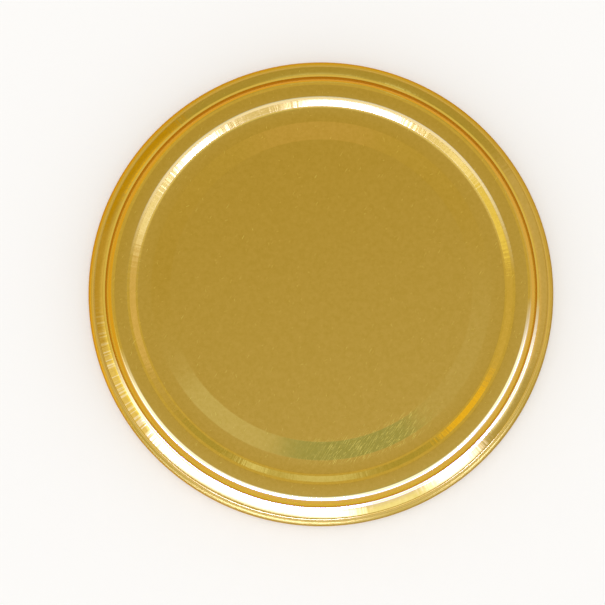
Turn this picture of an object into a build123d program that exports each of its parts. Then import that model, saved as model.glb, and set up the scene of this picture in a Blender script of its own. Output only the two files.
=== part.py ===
from build123d import *
import math
import os

# Twist off lid for a wide mouth glass jar, lying panel up on its rolled rim.
# Millimetres, +Z up along the axis of the lid, origin at the centre of the plane it rests on.
# The first lug lies on +X.

# The sheet and the lid's overall size
sheet_thickness = 0.18
overall_diameter = 85.0
overall_height = 10.0

# The edge of the sheet, rolled outwards, down and inwards into a curl
curl_diameter = 1.9
curl_turn = 310.0
curl_overhang = 0.46

# From the skirt inwards: sloping shoulder, ledge and the channel wall that rises from it
shoulder_width = 1.63
shoulder_drop = 1.3
ledge_width = 0.46
ledge_drop = 0.22
channel_wall_draft = 1.35
channel_height = 3.35

# Top ring, the wall and floor of the sunk ring inside it, and a shallow bevel up to a flat disc
top_ring_width = 2.95
recess_wall_width = 1.45
recess_depth = 1.25
recess_floor_width = 2.65
bevel_width = 3.4
disc_rise = 0.28

# Radii of the middle of the sheet at each bend, from the disc outwards
disc_edge_bend = 3.0
bevel_foot_bend = 3.0
recess_foot_bend = 0.8
recess_top_bend = 0.9
top_corner_bend = 0.9
channel_foot_bend = 0.35
ledge_bend = 0.45
shoulder_bend = 0.5
curl_neck_bend = 0.3

# Lugs: stretches of the curl that are pressed inwards to hook under the glass threads
lug_count = 6
lug_reach = 2.25
lug_height = 1.5
lug_tip_length = 9.0
lug_root_length = 12.0
lug_corner_bend = 1.6
lug_edge_bend = 0.55

# Sealing ring, flowed into the channel under the top ring
sealing_depth = 0.95

# Places that follow from the sizes above
half_sheet = sheet_thickness / 2
ring_level = overall_height - half_sheet
floor_level = ring_level - recess_depth
disc_level = floor_level + disc_rise
ledge_level = ring_level - channel_height
ledge_end_level = ledge_level - ledge_drop
shoulder_end_level = ledge_end_level - shoulder_drop

curl_sheet_radius = curl_diameter / 2 - half_sheet
curl_radius = overall_diameter / 2 - curl_diameter / 2
curl_level = curl_diameter / 2
lug_tip_radius = curl_radius - lug_reach

skirt_radius = curl_radius - curl_overhang
ledge_radius = skirt_radius - shoulder_width
channel_foot_radius = ledge_radius - ledge_width
channel_top_radius = channel_foot_radius - channel_wall_draft
recess_top_radius = channel_top_radius - top_ring_width
recess_foot_radius = recess_top_radius - recess_wall_width
bevel_radius = recess_foot_radius - recess_floor_width
disc_radius = bevel_radius - bevel_width

neck_radius = skirt_radius + curl_neck_bend
neck_reach = curl_sheet_radius + curl_neck_bend
neck_offset = curl_radius - neck_radius
neck_level = curl_level + math.sqrt(neck_reach**2 - neck_offset**2)
neck_tilt = math.degrees(math.asin(neck_offset / neck_reach))

sheet_corners = [
    Vector(0, disc_level),
    Vector(disc_radius, disc_level),
    Vector(bevel_radius, floor_level),
    Vector(recess_foot_radius, floor_level),
    Vector(recess_top_radius, ring_level),
    Vector(channel_top_radius, ring_level),
    Vector(channel_foot_radius, ledge_level),
    Vector(ledge_radius, ledge_end_level),
    Vector(skirt_radius, shoulder_end_level),
    Vector(skirt_radius, neck_level),
]
sheet_bends = [
    disc_edge_bend,
    bevel_foot_bend,
    recess_foot_bend,
    recess_top_bend,
    top_corner_bend,
    channel_foot_bend,
    ledge_bend,
    shoulder_bend,
]


def inward_normal(start, end):
    """Unit normal on the inner side of a stretch of sheet that runs from start to end."""
    along = (end - start).normalized()
    return Vector(along.Y, -along.X)


def surface_path(depth):
    """Pressed part of the sheet at a depth inside its middle: corners and bend radii."""
    normals = [inward_normal(a, b) for a, b in zip(sheet_corners, sheet_corners[1:])]
    corners = [sheet_corners[0] + normals[0] * depth]
    bends = []
    for corner, bend, before, after in zip(sheet_corners[1:], sheet_bends, normals, normals[1:]):
        corners.append(corner + (before + after) * (depth / (1 + before.dot(after))))
        bends_inwards = before.cross(after).Z < 0
        bends.append(bend - depth if bends_inwards else bend + depth)
    corners.append(sheet_corners[-1] + normals[-1] * depth)
    return FilletPolyline(*corners, radius=bends)


def curl_path(depth):
    """Rolled edge at the same depth: the neck that leads out of the skirt, then the curl."""
    neck_centre = (neck_radius, neck_level)
    curl_centre = (curl_radius, curl_level)
    neck = CenterArc(neck_centre, curl_neck_bend + depth, 180, 90 + neck_tilt)
    curl = CenterArc(curl_centre, curl_sheet_radius - depth, 90 + neck_tilt, -curl_turn)
    return [neck, curl]


def upright(flat_shape):
    """Stands a shape drawn as radius across and height up in the plane of X and Z."""
    return Plane.XZ * flat_shape


def make_sheet_section():
    """Cross-section of the whole sheet, from the axis to the raw edge inside the curl."""
    outer = [surface_path(-half_sheet), *curl_path(-half_sheet)]
    inner = [surface_path(half_sheet), *curl_path(half_sheet)]
    raw_edge = Line(outer[-1] @ 1, inner[-1] @ 1)
    on_axis = Line(outer[0] @ 0, inner[0] @ 0)
    edges = ShapeList()
    for piece in [*outer, raw_edge, *inner, on_axis]:
        edges.extend(piece.edges())
    return make_face(edges)


def make_lug_body(wall):
    """One lug on +X as a solid pad, or with wall set, the hollow that its sheet encloses."""
    tip_angle = math.degrees(lug_tip_length / 2 / lug_tip_radius)
    root_angle = math.degrees(lug_root_length / 2 / curl_radius)
    tip = CenterArc((0, 0), lug_tip_radius, -tip_angle, 2 * tip_angle)
    root = CenterArc((0, 0), curl_radius, -root_angle, 2 * root_angle)
    lower_side = Line(tip @ 0, root @ 0)
    upper_side = Line(tip @ 1, root @ 1)
    plan = make_face([*tip.edges(), *root.edges(), *lower_side.edges(), *upper_side.edges()])
    plan = fillet(plan.vertices().sort_by(Axis.X)[:2], lug_corner_bend)
    if wall:
        plan = offset(plan, -wall, kind=Kind.INTERSECTION)
    height = lug_height - 2 * wall
    base = Pos(0, 0, curl_level - height / 2)
    body = extrude(base * plan, height)
    rims = body.faces().filter_by(Axis.Z).edges()
    root_reach = curl_radius - wall - half_sheet
    free_rims = rims.filter_by(lambda edge: distance_from_axis(edge @ 0.5) < root_reach)
    return fillet(free_rims, lug_edge_bend - wall)


def distance_from_axis(point):
    """Radius at which a point lies."""
    return math.hypot(point.X, point.Y)


def make_lid_shell():
    """The pressed sheet: panel, top ring, channel wall, shoulder, skirt, curl and lugs."""
    sector_angle = 360 / lug_count
    section = Rot(0, 0, -sector_angle / 2) * upright(make_sheet_section())
    sector = revolve(section, Axis.Z, sector_angle)
    inside_curl = Pos(0, 0, curl_level) * Torus(curl_radius, curl_sheet_radius)
    sector = sector + (make_lug_body(0) - inside_curl)
    sector = sector - make_lug_body(sheet_thickness)
    sectors = [Rot(0, 0, sector_angle * index) * sector for index in range(lug_count)]
    return sectors[0] + sectors[1:]


def make_sealing_gasket():
    """Ring that fills the channel under the top ring, level underneath, on the inner skin."""
    skin = surface_path(half_sheet)
    down_axis = Polyline(skin @ 1, (0, (skin @ 1).Y), skin @ 0)
    space_inside = make_face([*skin.edges(), *down_axis.edges()])
    bottom = overall_height - sheet_thickness - sealing_depth
    width = channel_foot_radius - recess_foot_radius
    height = overall_height - bottom
    middle = Pos(recess_foot_radius + width / 2, bottom + height / 2)
    band = middle * Rectangle(width, height)
    return revolve(upright(space_inside & band), Axis.Z)


os.makedirs("parts", exist_ok=True)
nodes = {
    "lid_shell": make_lid_shell(),
    "sealing_gasket": make_sealing_gasket(),
}
for name, shape in nodes.items():
    shape.label = name
    export_step(shape, f"parts/{name}.step")
    box = shape.bounding_box()
    print(name, "solids", len(shape.solids()), "volume", round(shape.volume, 2),
          "size", [round(v, 3) for v in box.size], "from z", round(box.min.Z, 3))
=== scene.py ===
# %% [markdown]
# # A twist off jar lid
#
# The real lid is one disc of tinplate, lacquered gold while it is still flat and then pressed. The press
# sinks the panel, turns down the walls, rolls the raw edge inwards into a curl, and squeezes the curl at
# six places into lugs. A ring of soft plastisol is flowed into the channel under the top ring.
# This lesson models both pieces over the lid's fixed frame, gives them their finishes, and lights them.

# %% The frame
import math

import bpy
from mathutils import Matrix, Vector


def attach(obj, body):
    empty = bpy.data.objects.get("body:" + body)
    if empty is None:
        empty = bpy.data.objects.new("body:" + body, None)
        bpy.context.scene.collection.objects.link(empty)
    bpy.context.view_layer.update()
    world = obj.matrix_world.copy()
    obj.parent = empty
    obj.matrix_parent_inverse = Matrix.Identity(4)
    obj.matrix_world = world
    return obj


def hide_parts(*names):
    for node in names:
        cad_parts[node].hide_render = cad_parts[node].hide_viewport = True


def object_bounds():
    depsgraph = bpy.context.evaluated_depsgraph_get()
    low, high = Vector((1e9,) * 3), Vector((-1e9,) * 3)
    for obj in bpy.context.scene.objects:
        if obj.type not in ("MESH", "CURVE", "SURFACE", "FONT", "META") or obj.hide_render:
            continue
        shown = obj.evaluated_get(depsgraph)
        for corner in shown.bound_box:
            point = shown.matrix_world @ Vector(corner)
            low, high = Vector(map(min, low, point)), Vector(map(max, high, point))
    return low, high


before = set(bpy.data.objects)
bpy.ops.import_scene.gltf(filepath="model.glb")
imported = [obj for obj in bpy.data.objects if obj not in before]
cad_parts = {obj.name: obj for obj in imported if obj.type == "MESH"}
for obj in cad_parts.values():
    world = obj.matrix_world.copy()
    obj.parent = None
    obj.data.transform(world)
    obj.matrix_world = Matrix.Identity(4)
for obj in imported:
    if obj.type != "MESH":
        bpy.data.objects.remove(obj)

box_at_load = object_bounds()
mm = 0.001
highest_corner = box_at_load[1]
lid_radius = min(highest_corner.x, highest_corner.y)
lid_height = highest_corner.z
print("lid radius", round(lid_radius / mm, 2), "mm, height", round(lid_height / mm, 2), "mm")

# %% [markdown]
# ## The cross-section of the sheet
#
# Everything on the lid is round, so one cross-section says nearly all of it. A maker would turn it as a
# pair of dies. It could be drawn as a curve with handles, but tinplate bends in true arcs between straight
# stretches, so the section is kept as the corners of a bent line, each with the radius of its bend.
# All radii and heights are those of the middle of the sheet.

# %% Sizes of the section
sheet = 0.18 * mm
half_sheet = sheet / 2

ring_level = lid_height - half_sheet
floor_level = ring_level - 1.25 * mm
disc_level = floor_level + 0.28 * mm
ledge_level = ring_level - 3.35 * mm
ledge_end_level = ledge_level - 0.22 * mm
shoulder_end_level = ledge_end_level - 1.3 * mm

disc_radius = 27.2 * mm
bevel_radius = disc_radius + 3.4 * mm
recess_top_radius = 34.7 * mm
recess_foot_radius = recess_top_radius - 1.45 * mm
channel_top_radius = 37.65 * mm
channel_foot_radius = 39.0 * mm
ledge_radius = channel_foot_radius + 0.46 * mm
skirt_radius = 41.0 * mm + half_sheet

curl_radius = 0.95 * mm
curl_sheet_radius = curl_radius - half_sheet
curl_centre = (lid_radius - curl_radius, curl_radius)
neck_bend = 0.3 * mm
curl_turn = math.radians(310)

# %% A line with rounded corners
arc_step = math.radians(7)


def arc(centre, radius, start, turn):
    """Points along an arc, without its first one."""
    steps = max(2, math.ceil(abs(turn) / arc_step))
    angles = [start + turn * i / steps for i in range(1, steps + 1)]
    return [(centre[0] + radius * math.cos(a), centre[1] + radius * math.sin(a)) for a in angles]


def bent_line(corners, bends):
    """Points of a line through the corners, each corner rounded to its bend's radius."""
    points = [corners[0]]
    for before, corner, after, bend in zip(corners, corners[1:], corners[2:], bends):
        way_in = math.atan2(corner[1] - before[1], corner[0] - before[0])
        way_out = math.atan2(after[1] - corner[1], after[0] - corner[0])
        turn = (way_out - way_in + math.pi) % (2 * math.pi) - math.pi
        reach = bend * math.tan(abs(turn) / 2)
        side = math.copysign(math.pi / 2, turn)
        start = (corner[0] - reach * math.cos(way_in), corner[1] - reach * math.sin(way_in))
        centre = (start[0] + bend * math.cos(way_in + side), start[1] + bend * math.sin(way_in + side))
        points.append(start)
        points.extend(arc(centre, bend, way_in - side, turn))
    points.append(corners[-1])
    return points


# %% The pressed part of the section
neck_centre_radius = skirt_radius + neck_bend
neck_reach = curl_sheet_radius + neck_bend
neck_offset = curl_centre[0] - neck_centre_radius
neck_level = curl_centre[1] + math.sqrt(neck_reach**2 - neck_offset**2)
neck_tilt = math.asin(neck_offset / neck_reach)

pressed_corners = [
    (0, disc_level),
    (disc_radius, disc_level),
    (bevel_radius, floor_level),
    (recess_foot_radius, floor_level),
    (recess_top_radius, ring_level),
    (channel_top_radius, ring_level),
    (channel_foot_radius, ledge_level),
    (ledge_radius, ledge_end_level),
    (skirt_radius, shoulder_end_level),
    (skirt_radius, neck_level),
]
pressed_bends = [b * mm for b in (3.0, 3.0, 0.8, 0.9, 0.9, 0.35, 0.45, 0.5)]
pressed_line = bent_line(pressed_corners, pressed_bends)
neck_line = arc((neck_centre_radius, neck_level), neck_bend, math.pi, math.pi / 2 + neck_tilt)
print("points on the pressed part", len(pressed_line), "and on the neck", len(neck_line))

# %% [markdown]
# ## The curl and the lug
#
# The rolled edge has two cross-sections: the round curl, and the same stretch of sheet where the press has
# squeezed it inwards into a lug. If both have the same number of points, one can be blended into the other
# along the rim, just as the metal flows. So the round outer half is shared, and the inner half is drawn
# twice, then spaced out evenly to the same count.

# %% The curl, round and squeezed
outer_half_turn = math.pi + neck_tilt
inner_half_turn = curl_turn - outer_half_turn
outer_curl = arc(curl_centre, curl_sheet_radius, math.pi / 2 + neck_tilt, -outer_half_turn)
round_inner = arc(curl_centre, curl_sheet_radius, -math.pi / 2, -inner_half_turn)

lug_tip_radius = 39.3 * mm + half_sheet
lug_height = 1.5 * mm
lug_low = curl_centre[1] - lug_height / 2 + half_sheet
lug_high = curl_centre[1] + lug_height / 2 - half_sheet
lug_root_radius = 40.95 * mm
lug_root_bend = 0.5 * mm
lug_edge_bend = 0.46 * mm
lug_corners = [
    outer_curl[-1],
    (lug_root_radius, lug_low),
    (lug_tip_radius, lug_low),
    (lug_tip_radius, lug_high),
    (lug_root_radius, lug_high),
]
lug_line = bent_line(lug_corners, [lug_root_bend, lug_edge_bend, lug_edge_bend])


def spaced_out(points, count):
    """The same line with its points spread evenly, without its first one."""
    lengths = [math.dist(a, b) for a, b in zip(points, points[1:])]
    spread = []
    for i in range(1, count + 1):
        left = sum(lengths) * i / count
        for a, b, length in zip(points, points[1:], lengths):
            if left <= length or b is points[-1]:
                share = min(1, left / length)
                spread.append((a[0] + (b[0] - a[0]) * share, a[1] + (b[1] - a[1]) * share))
                break
            left -= length
    return spread


inner_count = 36
round_inner = spaced_out([outer_curl[-1], *round_inner], inner_count)
squeezed_inner = spaced_out(lug_line, inner_count)
round_section = pressed_line + neck_line + outer_curl + round_inner
lug_section = pressed_line + neck_line + outer_curl + squeezed_inner
print("points in the whole section", len(round_section))

# %% [markdown]
# ## Turning one sixth of the lid
#
# By hand this is the oldest trick there is: extrude a single point along the section, then spin the line
# about the axis. The lid repeats six times, once for each lug, so only a sixth is spun. It is spun twice,
# from the round section and from the squeezed one, and a shape key joins the two.

# %% Helpers for work by hand
def nothing_selected():
    """Leaves every object unselected, in object mode."""
    if bpy.context.object and bpy.context.object.mode != "OBJECT":
        bpy.ops.object.mode_set(mode="OBJECT")
    bpy.ops.object.select_all(action="DESELECT")


def only(piece):
    """Selects one object and makes it the active one."""
    nothing_selected()
    piece.select_set(True)
    bpy.context.view_layer.objects.active = piece


def drawn_line(name, points, closed=False):
    """A line of edges through points given as radius and height, drawn by extruding one vertex."""
    nothing_selected()
    bpy.ops.mesh.primitive_plane_add(size=mm, location=(0, 0, 0), enter_editmode=True)
    bpy.ops.mesh.select_all(action="SELECT")
    bpy.ops.mesh.merge(type="CENTER")
    bpy.ops.transform.translate(value=(points[0][0], 0, points[0][1]))
    for a, b in zip(points, points[1:]):
        step = (b[0] - a[0], 0, b[1] - a[1])
        bpy.ops.mesh.extrude_region_move(TRANSFORM_OT_translate={"value": step})
    if closed:
        bpy.ops.mesh.select_all(action="SELECT")
        bpy.ops.mesh.edge_face_add()
        bpy.ops.mesh.delete(type="ONLY_FACE")
    bpy.ops.object.mode_set(mode="OBJECT")
    piece = bpy.context.object
    piece.name = name
    return piece


def spun(piece, spans, start=0.0):
    """Turns a drawn line back by a start angle, then spins it through spans given as angle and steps."""
    only(piece)
    bpy.ops.object.mode_set(mode="EDIT")
    bpy.ops.mesh.select_all(action="SELECT")
    if start:
        bpy.ops.transform.rotate(value=-start, orient_axis="Z", center_override=(0, 0, 0))
    for angle, steps in spans:
        bpy.ops.mesh.spin(steps=steps, angle=angle, center=(0, 0, 0), axis=(0, 0, 1))
    bpy.ops.object.mode_set(mode="OBJECT")
    return piece


# %% The two sixths
lug_count = 6
sixth = 2 * math.pi / lug_count
lug_flat = math.radians(4)
lug_end = math.radians(9)
# Each span is an angle and its number of steps, which lie closest on the lug's two sides.
between_lugs = (sixth / 2 - lug_end, 14)
lug_side = (lug_end - lug_flat, 8)
lug_middle = (2 * lug_flat, 6)
sixth_spans = [between_lugs, lug_side, lug_middle, lug_side, between_lugs]
lid = spun(drawn_line("lid", round_section), sixth_spans, start=sixth / 2)
squeezed = spun(drawn_line("squeezed", lug_section), sixth_spans, start=sixth / 2)


def angle_of(vertex):
    """The angle of a vertex about the lid's axis."""
    return math.atan2(vertex.co.y, vertex.co.x)


rim_angles = [math.degrees(angle_of(v)) for v in lid.data.vertices if v.co.x > disc_radius / 2]
print("one sixth spans", round(min(rim_angles), 2), "to", round(max(rim_angles), 2), "degrees")

# %% Pressing the lug
# The squeezed line is let in only near the middle of the sixth, with a smooth fade at both ends of the lug.
only(lid)
squeezed.select_set(True)
bpy.ops.object.join_shapes()
lug_key = lid.data.shape_keys.key_blocks[-1]
lug_group = lid.vertex_groups.new(name="lug")
lug_start = math.radians(4.6)
lug_fade = math.radians(8.4)
for vertex in lid.data.vertices:
    share = (lug_fade - abs(angle_of(vertex))) / (lug_fade - lug_start)
    share = min(1, max(0, share))
    lug_group.add([vertex.index], share * share * (3 - 2 * share), "REPLACE")
lug_key.vertex_group = "lug"
lug_key.value = 1
only(lid)
lid.active_shape_key_index = len(lid.data.shape_keys.key_blocks) - 1
bpy.ops.object.shape_key_remove(all=True, apply_mix=True)
bpy.ops.object.vertex_group_remove(all=True)
only(squeezed)
bpy.ops.object.delete()
tip = min(math.hypot(v.co.x, v.co.y) for v in lid.data.vertices if v.co.z < 2 * curl_radius)
print("points in one sixth", len(lid.data.vertices), "and the lug reaches in to", round(tip / mm, 2), "mm")

# %% [markdown]
# ## Six sixths, then the thickness
#
# The sixth is copied round five times and the seams are merged, which also closes the centre to one point.
# Up to here the sheet has no thickness. It could be given by drawing both skins in the section, but
# Solidify does it in one go, half to each side, as the section was drawn in the middle of the sheet. Smooth
# shading follows: a press leaves no sharp edge on tinplate but the cut one.

# %% The whole sheet
only(lid)
bpy.ops.object.mode_set(mode="EDIT")
bpy.ops.mesh.select_all(action="SELECT")
for copy in range(lug_count - 1):
    bpy.ops.mesh.duplicate()
    bpy.ops.transform.rotate(value=sixth, orient_axis="Z", center_override=(0, 0, 0))
bpy.ops.mesh.select_all(action="SELECT")
bpy.ops.mesh.remove_doubles(threshold=0.002 * mm)
bpy.ops.mesh.normals_make_consistent(inside=False)
bpy.ops.object.mode_set(mode="OBJECT")
thickness = lid.modifiers.new("thickness", "SOLIDIFY")
thickness.thickness = sheet
thickness.offset = 0
thickness.use_even_offset = True
bpy.ops.object.modifier_apply(modifier="thickness")
bpy.ops.object.shade_smooth_by_angle(angle=math.radians(50))


def triangles(piece):
    """How many triangles a piece has."""
    return sum(len(face.vertices) - 2 for face in piece.data.polygons)


highest = max(v.co.z for v in lid.data.vertices)
print("triangles in the sheet", triangles(lid), "and its highest point at", round(highest / mm, 3), "mm")

# %% [markdown]
# ## The sealing ring
#
# Plastisol is squirted into the upturned lid while it spins, and then baked. It fills the channel from wall
# to wall, and its free face is level but for a small rise where it wets the walls. A torus would have to be
# fitted to the channel by eye. So its outline is drawn from the sheet's own line, a hair inside the metal,
# and the two can never part or cross.

# %% The sealing ring's outline
skin_gap = 0.01 * mm
sealing_level = lid_height - sheet - 0.95 * mm
wetting_rise = 0.06 * mm
wetting_width = 0.5 * mm


def beside(points, depth):
    """The same line, moved sideways by a depth to its lower side."""
    moved = []
    for i, point in enumerate(points):
        before, after = points[max(0, i - 1)], points[min(len(points) - 1, i + 1)]
        along = Vector((after[0] - before[0], after[1] - before[1])).normalized()
        moved.append((point[0] + along.y * depth, point[1] - along.x * depth))
    return moved


def at_level(a, b, level):
    """Where the stretch from a to b crosses a level."""
    share = (level - a[1]) / (b[1] - a[1])
    return (a[0] + (b[0] - a[0]) * share, level)


inner_skin = beside(pressed_line, half_sheet + skin_gap)
skin = [p for p in inner_skin if recess_foot_radius < p[0] < channel_foot_radius]
first = next(i for i, p in enumerate(skin) if p[1] > sealing_level)
last = max(i for i, p in enumerate(skin) if p[1] > sealing_level)
inner_edge = at_level(skin[first - 1], skin[first], sealing_level)
outer_edge = at_level(skin[last], skin[last + 1], sealing_level)
free_level = sealing_level + wetting_rise
free_face = [
    (outer_edge[0] - wetting_width, free_level),
    (inner_edge[0] + wetting_width, free_level),
]
sealing_outline = [inner_edge, *skin[first:last + 1], outer_edge, *free_face]
sealing_ring = spun(drawn_line("sealing_ring", sealing_outline, closed=True), [(2 * math.pi, 240)])
only(sealing_ring)
bpy.ops.object.mode_set(mode="EDIT")
bpy.ops.mesh.select_all(action="SELECT")
bpy.ops.mesh.remove_doubles(threshold=0.002 * mm)
bpy.ops.mesh.normals_make_consistent(inside=False)
bpy.ops.object.mode_set(mode="OBJECT")
bpy.ops.object.shade_smooth_by_angle(angle=math.radians(40))
ring_radii = [round(edge[0] / mm, 2) for edge in (inner_edge, outer_edge)]
print("sealing ring between radii", ring_radii, "mm, with", triangles(sealing_ring), "triangles")

# %% [markdown]
# ## Gold lacquer
#
# The gold is not gold: it is a clear amber lacquer, roller coated and baked on bright tin. Seen from
# outside it behaves like a yellow metal, so a metallic shader with the colour of the pair is enough, and a
# warm tint at grazing angles stands for the longer way of the light through the lacquer.
# Everything on it is drawn from the object's own coordinates, so that it stays put from every side.

# %% Node helpers
def new_material(name):
    """An empty node material, with its node tree's nodes and links."""
    material = bpy.data.materials.new(name)
    material.use_nodes = True
    material.node_tree.nodes.clear()
    return material


def add_node(tree, kind, values=(), links=(), **settings):
    """Adds a node, sets its settings and socket values, and links sockets into it."""
    node = tree.nodes.new(kind)
    for key, value in settings.items():
        setattr(node, key, value)
    for socket, value in values:
        node.inputs[socket].default_value = value
    for socket, source in links:
        tree.links.new(source, node.inputs[socket])
    return node


def noise(tree, vector, scale, detail=2.0, roughness=0.5):
    """A noise of about 0 to 1 whose features are 1/scale metres wide."""
    node = add_node(
        tree,
        "ShaderNodeTexNoise",
        values=[("Scale", scale), ("Detail", detail), ("Roughness", roughness)],
        links=[("Vector", vector)],
    )
    return node.outputs["Fac"]


def ranged(tree, value, low, high, to_low=0.0, to_high=1.0):
    """Maps a value from one range onto another, and clamps it."""
    node = add_node(
        tree,
        "ShaderNodeMapRange",
        values=[("From Min", low), ("From Max", high), ("To Min", to_low), ("To Max", to_high)],
        links=[("Value", value)],
    )
    return node.outputs["Result"]


def maths(tree, operation, a, b):
    """A Math node on two values, each a socket or a number."""
    node = add_node(tree, "ShaderNodeMath", operation=operation)
    for i, value in enumerate((a, b)):
        if isinstance(value, (int, float)):
            node.inputs[i].default_value = value
        else:
            tree.links.new(value, node.inputs[i])
    return node.outputs["Value"]


def vector_maths(tree, operation, vector, other=(0, 0, 0)):
    """A Vector Math node on a socket and three numbers."""
    return add_node(
        tree,
        "ShaderNodeVectorMath",
        operation=operation,
        values=[(1, other)],
        links=[(0, vector)],
    )


# %% The grain of the sheet
gold = new_material("gold_lacquer")
tree = gold.node_tree
place = add_node(tree, "ShaderNodeTexCoord").outputs["Object"]

orange_peel = noise(tree, place, 1100, detail=3)
slow_waves = noise(tree, place, 120, detail=2)
grain = noise(tree, place, 2600, detail=4, roughness=0.7)
mottle = noise(tree, place, 1500, detail=3, roughness=0.6)
thick_lacquer = (0.430, 0.265, 0.027, 1)
thin_lacquer = (0.468, 0.291, 0.035, 1)
mottled_gold = add_node(
    tree,
    "ShaderNodeMix",
    data_type="RGBA",
    values=[("A", thick_lacquer), ("B", thin_lacquer)],
    links=[("Factor", ranged(tree, mottle, 0.32, 0.68))],
)
lacquer_and_reflections = mottled_gold.outputs["Result"]
print("gold material started with", len(tree.nodes), "nodes")

# %% [markdown]
# ## Zones of the lid
#
# The lid is pressed in rings, and the photograph shows each ring in a colour of its own, paler on one side
# and more amber on another. The paler and more amber sides are painted reflections. So the masks come from
# two measures of a point, its distance from the axis and how far it lies towards one side. Painting them by
# hand would need an image.

# %% Zone masks
flat_place = vector_maths(tree, "MULTIPLY", place, (1, 1, 0)).outputs["Vector"]
from_axis = vector_maths(tree, "LENGTH", flat_place).outputs["Value"]
outwards = vector_maths(tree, "NORMALIZE", flat_place).outputs["Vector"]


def ring_zone(tree, low, high, fade):
    """One between two distances from the axis in mm, falling to nothing over a fade outside them."""
    rising = ranged(tree, from_axis, (low - fade) * mm, low * mm)
    falling = ranged(tree, from_axis, (high + fade) * mm, high * mm)
    return maths(tree, "MULTIPLY", rising, falling)


def side_zone(tree, azimuth, low, high):
    """Rises from nothing to one towards one side of the lid, between two shares of its radius."""
    turn = math.radians(azimuth)
    towards = (math.cos(turn), math.sin(turn), 0)
    side = vector_maths(tree, "DOT_PRODUCT", place, towards).outputs["Value"]
    return ranged(tree, side, low * lid_radius, high * lid_radius)


def tinted(tree, colour, factor, tint):
    """Mixes a tint into a colour by a factor."""
    mix = add_node(
        tree,
        "ShaderNodeMix",
        data_type="RGBA",
        values=[("B", (*tint, 1))],
        links=[("Factor", factor), ("A", colour)],
    )
    return mix.outputs["Result"]


# %% [markdown]
# ## Scratches
#
# Lids are shipped loose in cartons and scratch each other. A scratch is drawn as a noise stretched along
# one direction and cut off near its top, so that only a few short lines are left of it. One patch of the
# bevel is rubbed harder, with scratches that lie closer together.

# %% Scratches and the rubbed patch
scratch_edge = 0.035
scratch_strength = 0.75
scratched_lacquer = (0.66, 0.49, 0.075)


def scratches(tree, angle, length, width, rarity):
    """Short straight scratches that lie at one angle, as a mask. Length and width are in mm."""
    turned = add_node(
        tree,
        "ShaderNodeMapping",
        values=[("Rotation", (0, 0, math.radians(angle))), ("Scale", (length * mm, width * mm, 1))],
        links=[("Vector", place)],
        vector_type="TEXTURE",
    )
    drawn = noise(tree, turned.outputs["Vector"], 1.0, detail=1)
    return ranged(tree, drawn, rarity, rarity + scratch_edge)


def spot(tree, centre, radius):
    """A soft round spot on the sheet, seen from above, as a mask. Centre and radius are in mm."""
    away = vector_maths(tree, "DISTANCE", flat_place, (centre[0] * mm, centre[1] * mm, 0)).outputs["Value"]
    return ranged(tree, away, radius * mm, radius / 2 * mm)


stray_kinds = [(60, 2.0, 0.13, 0.745), (100, 1.5, 0.12, 0.755), (20, 1.4, 0.12, 0.765)]
rubbed_kinds = [(58, 2.4, 0.11, 0.63), (47, 1.8, 0.10, 0.65)]
stray = [scratches(tree, *kind) for kind in stray_kinds]
rubbed = [scratches(tree, *kind) for kind in rubbed_kinds]
stray_marks = maths(tree, "MAXIMUM", maths(tree, "MAXIMUM", stray[0], stray[1]), stray[2])
rubbed_marks = maths(tree, "MAXIMUM", rubbed[0], rubbed[1])
rubbed_patch = maths(tree, "MULTIPLY", spot(tree, (9, -28), 15), ring_zone(tree, 26.8, 31.2, 0.5))
marks = maths(tree, "MAXIMUM", stray_marks, maths(tree, "MULTIPLY", rubbed_marks, rubbed_patch))
lacquer_and_reflections = tinted(tree, lacquer_and_reflections, maths(tree, "MULTIPLY", marks, scratch_strength), scratched_lacquer)
print("kinds of scratches", len(stray) + len(rubbed))

# %% [markdown]
# ## Tints of the zones
#
# The lacquer is baked on before the sheet is pressed, so it may be thinner on walls and corners, but the
# photograph doesn't tell lacquer from mirrored light. These tints were chosen by comparing the render with
# it. The rows without a side lift the walls, creases and crest all round, partly as thinner lacquer and
# partly as painted reflection. The rows with a side are painted reflections: a real lid has the same colour
# all round, and under other light these rows are best left out. Patches of the room could do the same, but
# those that were bright enough for the narrow bends also whited out the flat panel from behind. The paler
# upright marks on one stretch of the shoulder follow the photograph too. One row holds the ring that a zone
# fills, as two distances from the axis and a fade in mm, its side, and its colour.

# %% Upright marks on the shoulder
# Paler upright marks, drawn on one stretch of the shoulder only.
upright_marks = ranged(tree, noise(tree, outwards, 95, detail=1), 0.52, 0.60)
whole_shoulder = ring_zone(tree, 39.6, 40.9, 0.2)
marked_shoulder = maths(tree, "MULTIPLY", whole_shoulder, side_zone(tree, 206, 0.86, 0.92))
upright_marks = maths(tree, "MULTIPLY", upright_marks, marked_shoulder)
lacquer_and_reflections = tinted(tree, lacquer_and_reflections, maths(tree, "MULTIPLY", upright_marks, 0.7), (0.56, 0.42, 0.14))
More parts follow.
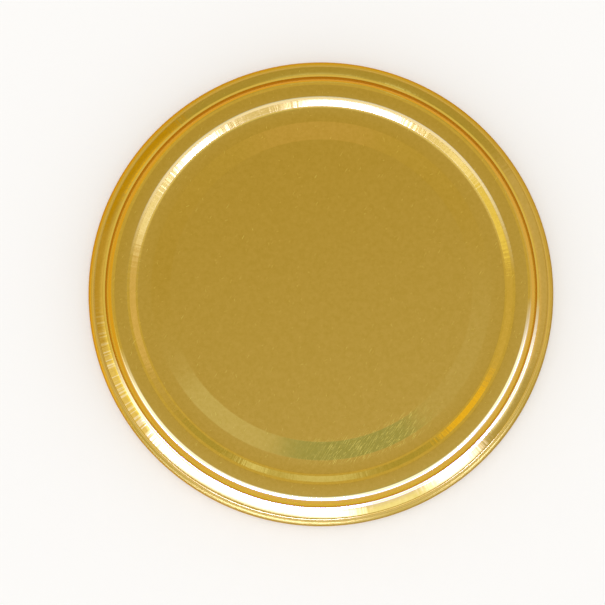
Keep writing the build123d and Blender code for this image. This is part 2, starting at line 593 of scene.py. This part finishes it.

# %% Colours of the zones
# The sides on which reflections are painted into the lacquer.
lit_side = (277, 0.14, 0.38)
lit_side_of_curl = (275, 0.30, 0.54)
far_side = (88, 0.10, 0.45)
# Rows with a side are painted reflections. Rows without one lift a ring all round, partly as thinner
# lacquer and partly as painted reflection.
zone_tints = {
    "channel wall": ((37.85, 38.90, 0.20), None, (0.68, 0.43, 0.08)),
    "channel wall, amber reflection": ((37.85, 38.90, 0.20), (127, -0.6, 0.4), (0.69, 0.345, 0.009)),
    "crease at the wall's foot": ((38.42, 38.86, 0.08), None, (0.65, 0.455, 0.055)),
    "crease at the wall's foot, amber reflection": ((38.42, 38.86, 0.08), (140, 0.1, 0.6), (0.66, 0.42, 0.030)),
    "ledge": ((39.00, 39.40, 0.08), None, (0.56, 0.37, 0.055)),
    "curl's outer side, amber reflection": ((42.15, 44.00, 0.35), (140, -0.8, 0.4), (0.60, 0.29, 0.010)),
    "curl's crest": ((41.30, 41.70, 0.20), None, (0.55, 0.34, 0.05)),
    "curl's crest, lit side": ((41.10, 41.62, 0.08), lit_side_of_curl, (0.62, 0.42, 0.075)),
    "curl's outer half, lit side": ((41.66, 42.25, 0.06), lit_side_of_curl, (0.36, 0.225, 0.020)),
    "top ring's corner, lit side": ((37.22, 37.78, 0.14), lit_side, (0.85, 0.72, 0.38)),
    "ledge, lit side": ((39.05, 39.50, 0.10), lit_side, (0.84, 0.72, 0.42)),
    "recess wall's upper bend, far side reflection": ((34.50, 34.90, 0.10), far_side, (0.66, 0.50, 0.20)),
    "recess wall's lower bend, far side reflection": ((33.20, 33.40, 0.10), far_side, (0.50, 0.34, 0.07)),
}
# From here on the lacquer's colour also holds the painted reflections.
for ring, side, zone_colour in zone_tints.values():
    zone = ring_zone(tree, *ring)
    if side:
        zone = maths(tree, "MULTIPLY", zone, side_zone(tree, *side))
    lacquer_and_reflections = tinted(tree, lacquer_and_reflections, zone, zone_colour)
painted_reflections = [name for name, (ring, side, tint) in zone_tints.items() if side]
print("zone tints", len(zone_tints), "of which painted reflections", len(painted_reflections))

# %% [markdown]
# ## Gloss and relief
#
# New lacquer is nearly a mirror. Scratches, the rolled curl and the recess wall are duller. The relief
# is a bump far finer than the sheet: orange peel, slow waves of the panel, and the puckers that
# pressing raises on the two slopes. Real displacement would need millions of faces for it.

# %% Gloss and relief
recess_slope = ring_zone(tree, 33.2, 34.9, 0.3)
shoulder_slope = ring_zone(tree, 39.4, 41.0, 0.2)
gloss = ranged(tree, grain, 0.3, 0.7, 0.075, 0.11)
curl_zone = ring_zone(tree, 41.7, 44, 0.5)
for duller_zone, share in ((marks, 0.2), (curl_zone, 0.28), (recess_slope, 0.08)):
    gloss = maths(tree, "ADD", gloss, maths(tree, "MULTIPLY", duller_zone, share))

puckers = maths(tree, "SUBTRACT", noise(tree, outwards, 52, detail=2), 0.5)
slopes = maths(tree, "MAXIMUM", recess_slope, shoulder_slope)
height = maths(tree, "ADD", orange_peel, maths(tree, "MULTIPLY", slow_waves, 5))
height = maths(tree, "ADD", height, maths(tree, "MULTIPLY", puckers, maths(tree, "MULTIPLY", slopes, 22)))
relief = add_node(
    tree,
    "ShaderNodeBump",
    values=[("Strength", 1.0), ("Distance", 0.0016 * mm)],
    links=[("Height", height)],
)
shader = add_node(
    tree,
    "ShaderNodeBsdfPrincipled",
    values=[("Metallic", 1.0), ("Specular Tint", (1.0, 0.78, 0.5, 1))],
    links=[("Base Color", lacquer_and_reflections), ("Roughness", gloss), ("Normal", relief.outputs["Normal"])],
)
add_node(tree, "ShaderNodeOutputMaterial", links=[("Surface", shader.outputs["BSDF"])])
print("gold material has", len(tree.nodes), "nodes")

# %% [markdown]
# ## Plastisol
#
# The compound is a soft cream vinyl, satin where it flowed out against air. It could be given depth by
# subsurface scattering, but it lies in the shade of the lid, where that wouldn't show. So a plain plastic
# is enough, with a faint mottle in its colour and flow marks in its relief.

# %% Sealing plastisol
plastisol = new_material("plastisol")
tree = plastisol.node_tree
place = add_node(tree, "ShaderNodeTexCoord").outputs["Object"]
flow_marks = noise(tree, place, 400, detail=4)
dark_cream = (0.70, 0.65, 0.52, 1)
light_cream = (0.76, 0.71, 0.58, 1)
cream = add_node(
    tree,
    "ShaderNodeMix",
    data_type="RGBA",
    values=[("A", dark_cream), ("B", light_cream)],
    links=[("Factor", ranged(tree, flow_marks, 0.35, 0.65))],
)
bump = add_node(
    tree,
    "ShaderNodeBump",
    values=[("Strength", 1.0), ("Distance", 0.01 * mm)],
    links=[("Height", flow_marks)],
)
shader = add_node(
    tree,
    "ShaderNodeBsdfPrincipled",
    values=[("Roughness", 0.42), ("IOR", 1.5)],
    links=[("Base Color", cream.outputs["Result"]), ("Normal", bump.outputs["Normal"])],
)
add_node(tree, "ShaderNodeOutputMaterial", links=[("Surface", shader.outputs["BSDF"])])

# %% [markdown]
# ## Dressing the frame
#
# The CAD model has both pieces already, plain but at their true size. Each finished piece takes the place
# of its node and rides on the part's one body.

# %% Dressing the frame
dressing = [
    (lid, gold, "lid_shell", "gold_lacquered_tinplate"),
    (sealing_ring, plastisol, "sealing_gasket", "sealing_plastisol"),
]
for piece, material, node, slot in dressing:
    piece.data.materials.clear()
    piece.data.materials.append(material)
    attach(piece, "root")
    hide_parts(node)
    print(piece.name, "stands for", node)

# %% [markdown]
# ## Floor
#
# The floor is plain and pale. Its colour alone would leave it a little grey under this light. More light
# would spoil the gold, so a small glow is added that only the camera and mirrored light can see. The lid
# still throws its soft shadow on it.

# %% The floor
floor_width = 6
floor_colour = (0.80, 0.79, 0.775, 1)
floor_glow = 0.20
nothing_selected()
bpy.ops.mesh.primitive_plane_add(size=floor_width, location=(0, 0, 0))
floor = bpy.context.object
floor.name = "floor"
pale = new_material("pale_floor")
tree = pale.node_tree
paths = add_node(tree, "ShaderNodeLightPath").outputs
seen = maths(tree, "MAXIMUM", paths["Is Camera Ray"], paths["Is Glossy Ray"])
seen = maths(tree, "MAXIMUM", seen, paths["Is Transmission Ray"])
lit = add_node(tree, "ShaderNodeBsdfDiffuse", values=[("Color", floor_colour)])
lift = add_node(
    tree,
    "ShaderNodeEmission",
    values=[("Color", (1, 1, 1, 1))],
    links=[("Strength", maths(tree, "MULTIPLY", seen, floor_glow))],
)
both = add_node(
    tree,
    "ShaderNodeAddShader",
    links=[(0, lit.outputs["BSDF"]), (1, lift.outputs["Emission"])],
)
add_node(tree, "ShaderNodeOutputMaterial", links=[("Surface", both.outputs["Shader"])])
floor.data.materials.append(pale)
print("floor", floor_width, "m wide")

# %% [markdown]
# ## Surroundings
#
# Metal has no look of its own: it shows its surroundings, so the room matters as much as the lid. To all
# but mirrored light the room is an even white of about one, at which a colour renders as it is
# written. Mirrored light also finds the room's walls, ceiling and curtains, as soft patches between two
# azimuths and two elevations. The flat panel looks up at the ceiling, the recess wall and the shoulder
# look at low parts of opposite walls. A photographed room would do the same, but it would be an image.
# This room is made up, and so are the names of its patches. Each was placed and coloured by comparing the
# render with the photograph. Many are far from plain white, and some much brighter than one, because gold
# swallows most blue and needs a strong blue to look white.
# One row for each patch holds its azimuths, its elevations, its colour, and how soft its edges are both
# ways, all but the colour in degrees. A later row covers an earlier one.

# %% Helpers for the room
world = bpy.data.worlds.new("studio")
bpy.context.scene.world = world
world.use_nodes = True
tree = world.node_tree
tree.nodes.clear()
direction = add_node(tree, "ShaderNodeTexCoord").outputs["Generated"]
parts = add_node(tree, "ShaderNodeSeparateXYZ", links=[("Vector", direction)]).outputs
azimuth = maths(tree, "ARCTAN2", parts["Y"], parts["X"])
elevation = maths(tree, "ARCSINE", parts["Z"], 0)


def within(tree, value, middle, half_width, softness):
    """One where a value lies inside a band, falling to nothing over a soft edge astride its ends."""
    away = maths(tree, "ABSOLUTE", maths(tree, "SUBTRACT", value, middle), 0)
    node = add_node(
        tree,
        "ShaderNodeMapRange",
        values=[("From Min", half_width + softness / 2), ("From Max", half_width - softness / 2)],
        links=[("Value", away)],
        interpolation_type="SMOOTHSTEP",
    )
    return node.outputs["Result"]


def room_patch(tree, colour, azimuths, elevations, patch_colour, softness):
    """Mixes a soft-edged patch of colour into the room's colour."""
    low, high = (math.radians(a) for a in azimuths)
    bottom, top = (math.radians(e) for e in elevations)
    turned = maths(tree, "SUBTRACT", azimuth, (low + high) / 2)
    half_circle = [(1, math.pi), (2, -math.pi)]
    wrapped = add_node(tree, "ShaderNodeMath", operation="WRAP", values=half_circle, links=[(0, turned)])
    across = within(tree, wrapped.outputs["Value"], 0, (high - low) / 2, math.radians(softness[0]))
    upright = within(tree, elevation, (bottom + top) / 2, (top - bottom) / 2, math.radians(softness[1]))
    return tinted(tree, colour, maths(tree, "MULTIPLY", across, upright), patch_colour)


# %% The ceiling
cool_direction = (0.25, -0.97, 0)
to_cool_side = vector_maths(tree, "DOT_PRODUCT", direction, cool_direction).outputs["Value"]
ceiling = add_node(
    tree,
    "ShaderNodeMix",
    data_type="RGBA",
    values=[("A", (0.96, 0.94, 0.95, 1)), ("B", (1.08, 1.15, 1.9, 1))],
    links=[("Factor", ranged(tree, to_cool_side, -0.13, 0.05))],
)

# %% The room's patches
room_patches = {
    "far walls": ((0, 200), (14, 74), (1.17, 1.17, 1.15), (14, 6)),
    "near walls, low": ((204, 350), (-5, 20), (1.05, 1.12, 1.0), (12, 6)),
    "right wall, low": ((318, 400), (-5, 13), (1.16, 1.19, 2.0), (14, 4)),
    "right wall, dim end": ((318, 345), (-5, 13), (0.95, 1.0, 1.5), (14, 4)),
    "right wall": ((-16, 28), (10, 18), (1.50, 1.45, 2.5), (8, 3)),
    "far wall, low": ((40, 128), (-5, 8), (0.88, 0.90, 0.90), (14, 3)),
    "plant on the right": ((46, 63), (8.5, 13), (0.70, 0.88, 0.70), (5, 3)),
    "far wall": ((64, 106), (8, 13), (1.00, 1.22, 1.5), (8, 3)),
    "far wall, small pane": ((67, 74), (7.5, 13.5), (1.9, 2.5, 5.6), (4, 2)),
    "far wall, wide pane": ((80, 100), (7.5, 13.5), (1.55, 2.0, 4.2), (9, 2)),
    "plant on the left": ((107, 126), (8.5, 13), (0.70, 0.88, 0.70), (5, 3)),
    "amber cupboard, low": ((127, 162), (-5, 8), (1.06, 0.83, 0.065), (8, 4)),
    "amber cupboard, lit": ((127, 150), (9.2, 15), (2.3, 1.85, 0.10), (8, 2)),
    "left wall, low": ((160, 192), (-5, 10), (1.05, 0.91, 0.6), (6, 3)),
    "left wall": ((150, 202), (10, 15), (1.5, 1.5, 1.8), (14, 3)),
    "curtain, low": ((192, 222), (-5, 12), (1.7, 1.8, 3.0), (12, 3)),
    "gap between the strip lights": ((280, 301), (-5, 14), (2.1, 2.7, 7.5), (8, 3)),
    "near walls, high": ((200, 352), (20, 74), (1.42, 1.46, 1.6), (12, 6)),
    "yellow curtain": ((186, 216), (12.3, 18), (2.4, 2.7, 3.0), (10, 2)),
    "window, left edge": ((214, 228), (12.3, 18), (3.8, 5.0, 18), (8, 2)),
    "window, frosted": ((227, 241), (12.3, 18), (2.7, 3.3, 10), (8, 2)),
    "window, blind": ((278, 306), (12.5, 19), (1.8, 2.2, 8), (8, 2)),
    "window, right edge": ((324, 350), (12, 18), (2.6, 3.3, 12), (12, 2)),
    "ceiling, dark square": ((252, 321), (74, 84), (0.74, 1.02, 1.7), (8, 2)),
    "ceiling, pale square": ((196, 251), (74, 84), (1.20, 1.38, 2.7), (14, 2)),
    "ceiling, far end": ((74, 106), (71, 76.5), (1.12, 1.06, 1.3), (10, 2)),
}
colour = ceiling.outputs["Result"]
for azimuths, elevations, patch_colour, softness in room_patches.values():
    colour = room_patch(tree, colour, azimuths, elevations, patch_colour, softness)
print("patches in the room", len(room_patches))

# %% The room as the world
room_white = (0.98, 0.975, 0.965, 1)
mirrored = add_node(tree, "ShaderNodeLightPath").outputs["Is Glossy Ray"]
plain_room = add_node(tree, "ShaderNodeBackground", values=[("Color", room_white), ("Strength", 1.0)])
seen_room = add_node(tree, "ShaderNodeBackground", values=[("Strength", 1.0)], links=[("Color", colour)])
room = add_node(
    tree,
    "ShaderNodeMixShader",
    links=[(0, mirrored), (1, plain_room.outputs[0]), (2, seen_room.outputs[0])],
)
add_node(tree, "ShaderNodeOutputWorld", links=[("Surface", room.outputs[0])])
print("nodes in the world", len(tree.nodes))

# %% [markdown]
# ## Strip lights
#
# The white arcs on the shoulder and on the recess wall are mirrored lights. A photographer would stand
# narrow strips of light round the lid: low ones for the shoulder near them, high ones for the recess wall
# on the far side. They are close to the lid, so that the flat panel never mirrors more than a corner of
# them, and they fade towards their edges, as a diffuser does. They are bluish because gold swallows blue.

# %% The strip lights
strip_distance = 80 * mm
strip_colour = (0.11, 0.15, 1.0)
strip_fade_degrees = 10
strip_fade_upright = 0.20


def strip(name, azimuths, heights, radiance):
    """A bright upright card near the lid, between two azimuths and two heights in mm."""
    middle_turn = math.radians(sum(azimuths) / 2)
    half_turn = math.radians(azimuths[1] - azimuths[0]) / 2
    foot = strip_distance * Vector((math.cos(middle_turn), math.sin(middle_turn), 0))
    bpy.ops.object.light_add(type="AREA", location=foot + Vector((0, 0, sum(heights) / 2 * mm)))
    lamp = bpy.context.object
    lamp.name = name
    lamp.rotation_euler = (-foot).to_track_quat("-Z", "Y").to_euler()
    lamp.visible_diffuse = False
    lamp.visible_camera = False
    lamp.data.shape = "RECTANGLE"
    lamp.data.size = 2 * strip_distance * math.tan(half_turn)
    lamp.data.size_y = (heights[1] - heights[0]) * mm
    lamp.data.color = strip_colour
    lamp.data.energy = radiance * math.pi * lamp.data.size * lamp.data.size_y
    lamp.data.use_nodes = True
    tree = lamp.data.node_tree
    tree.nodes.clear()
    on_card = add_node(tree, "ShaderNodeNewGeometry").outputs["Parametric"]
    sides = add_node(tree, "ShaderNodeSeparateXYZ", links=[("Vector", on_card)]).outputs
    fade = strip_fade_degrees / (azimuths[1] - azimuths[0])
    across = within(tree, sides["X"], 0.5, 0.5 - fade / 2, fade)
    upright = within(tree, sides["Y"], 0.5, 0.5 - strip_fade_upright / 2, strip_fade_upright)
    strength = maths(tree, "MULTIPLY", across, upright)
    glow = add_node(tree, "ShaderNodeEmission", links=[("Strength", strength)])
    add_node(tree, "ShaderNodeOutputLight", links=[("Surface", glow.outputs["Emission"])])
    print(name, "power", round(lamp.data.energy, 3), "W")


strip("low_wide_strip", (216, 284), (11.5, 20.5), 36)
strip("low_narrow_strip", (296, 321), (10, 19), 36)
strip("high_wide_strip", (236, 283), (35, 51), 120)
strip("high_narrow_strip", (302, 328), (33, 49), 120)

# %% [markdown]
# ## Camera
#
# The photograph looks down on the panel from a little in front of the lid: the far wall of the recess is
# seen wide and the near one narrow. A long lens from half a metre keeps the circles round.

# %% The camera
rim_level = 1 * mm
tilt = math.radians(3.6)
distance = 500 * mm
aim = Vector((-3.36 * mm, -1.72 * mm, rim_level))
back = Vector((0, -math.sin(tilt), math.cos(tilt)))
bpy.ops.object.camera_add(location=aim + back * distance)
camera = bpy.context.object
camera.name = "camera"
camera.rotation_euler = (-back).to_track_quat("-Z", "Y").to_euler()
camera.data.sensor_width = 36
camera.data.lens = 162.8
camera.data.clip_start = 0.01
camera.data.clip_end = 20
bpy.context.scene.camera = camera
bpy.context.scene.view_settings.view_transform = "Standard"
print("camera", round(distance / mm), "mm away, tilted by", round(math.degrees(tilt), 1), "degrees")
